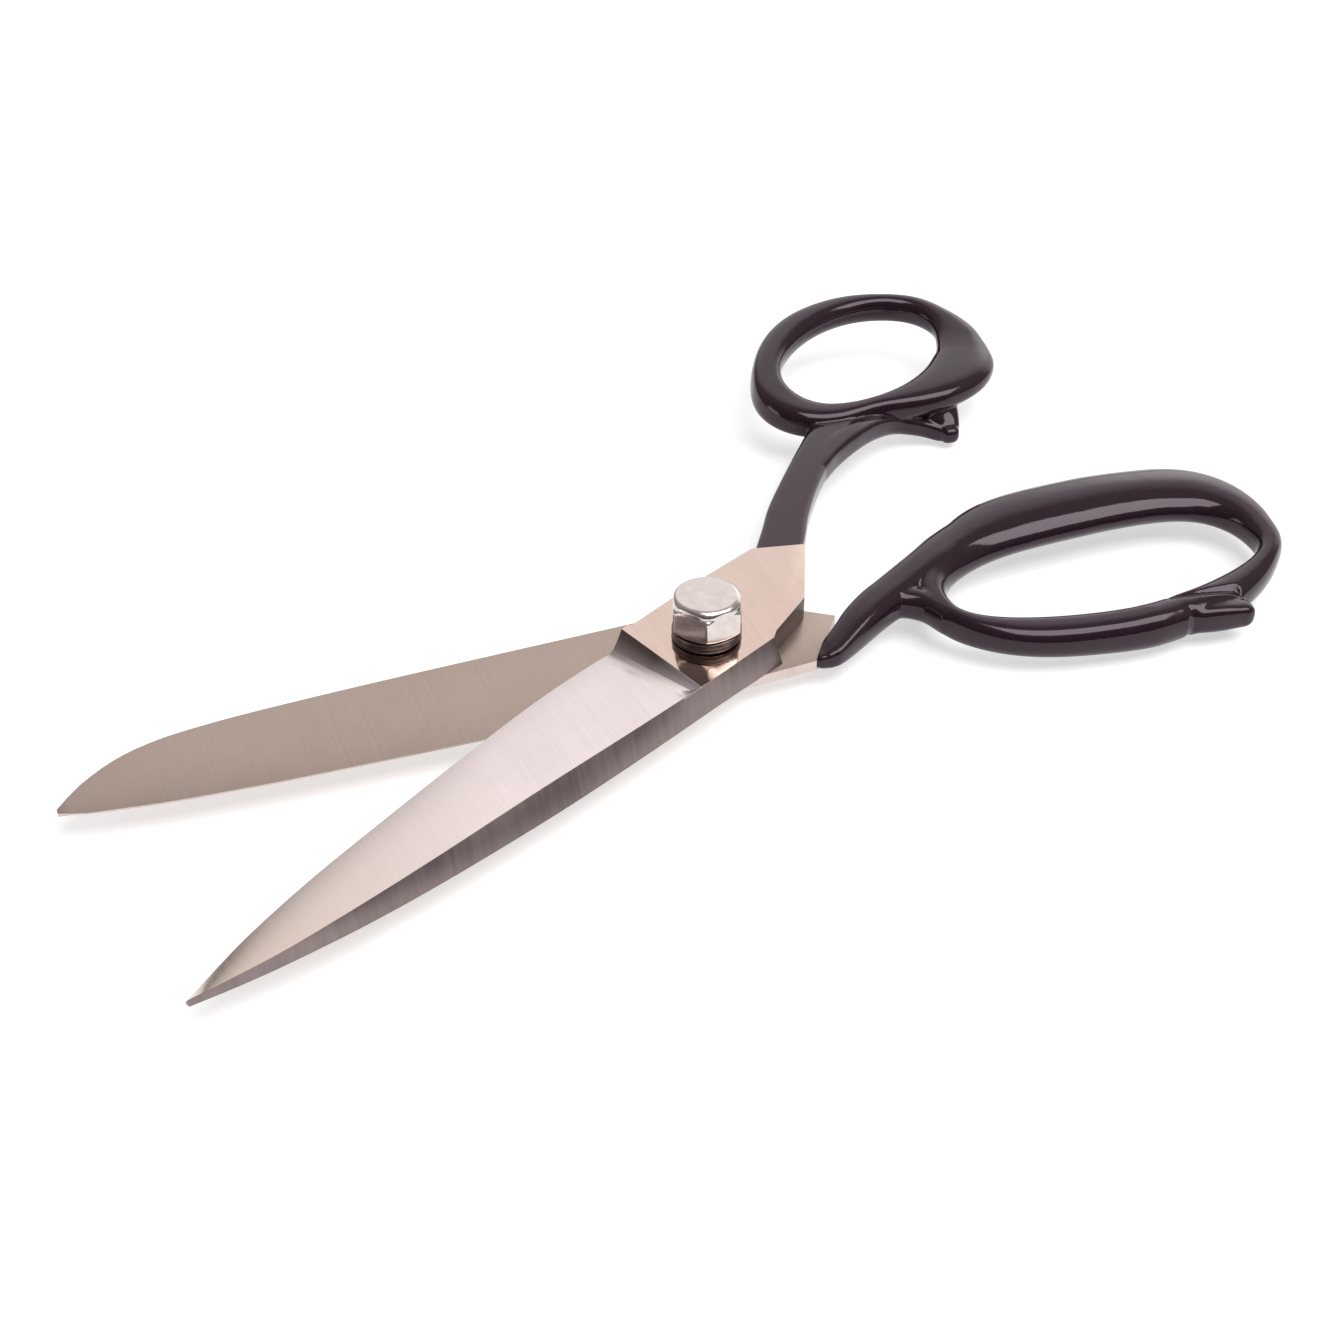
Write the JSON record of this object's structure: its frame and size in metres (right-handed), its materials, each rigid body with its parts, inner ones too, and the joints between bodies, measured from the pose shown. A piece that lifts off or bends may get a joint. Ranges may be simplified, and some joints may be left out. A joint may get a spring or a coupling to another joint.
{
  "type": "fabric shears",
  "caption": "Heavy bent-handle fabric shears: steel blades on an adjustable hex pivot, a long finger bow and a flared thumb ring with a stop.",
  "frame": {"origin": "on the pivot axis, at the underside of the lock nut, which is the lowest face", "axes": "+X from the pivot towards the lower blade's tip, +Z along the pivot axis towards the hex head"},
  "size_m": [0.2471, 0.1632, 0.0212],
  "materials": {
    "blade_steel": "ground faces, polished boss",
    "black_enamel": "thick gloss black enamel",
    "zinc_plate": "bright zinc plate",
    "dark_zinc": "dull plated spring steel"
  },
  "bodies": {
    "finger_half": {"lower_blade": "blade_steel", "finger_handle": "black_enamel", "pivot_bolt": "zinc_plate", "spring_washer": "dark_zinc", "lock_nut": "zinc_plate"},
    "thumb_half": {"upper_blade": "blade_steel", "thumb_handle": "black_enamel"}
  },
  "joints": [
    {"name": "blade_pivot", "type": "hinge", "parent": "finger_half", "child": "thumb_half", "pos_m": [0, 0, 0.0065], "axis": [0, 0, 1], "range_deg": [-22.5, 40]}
  ]
}
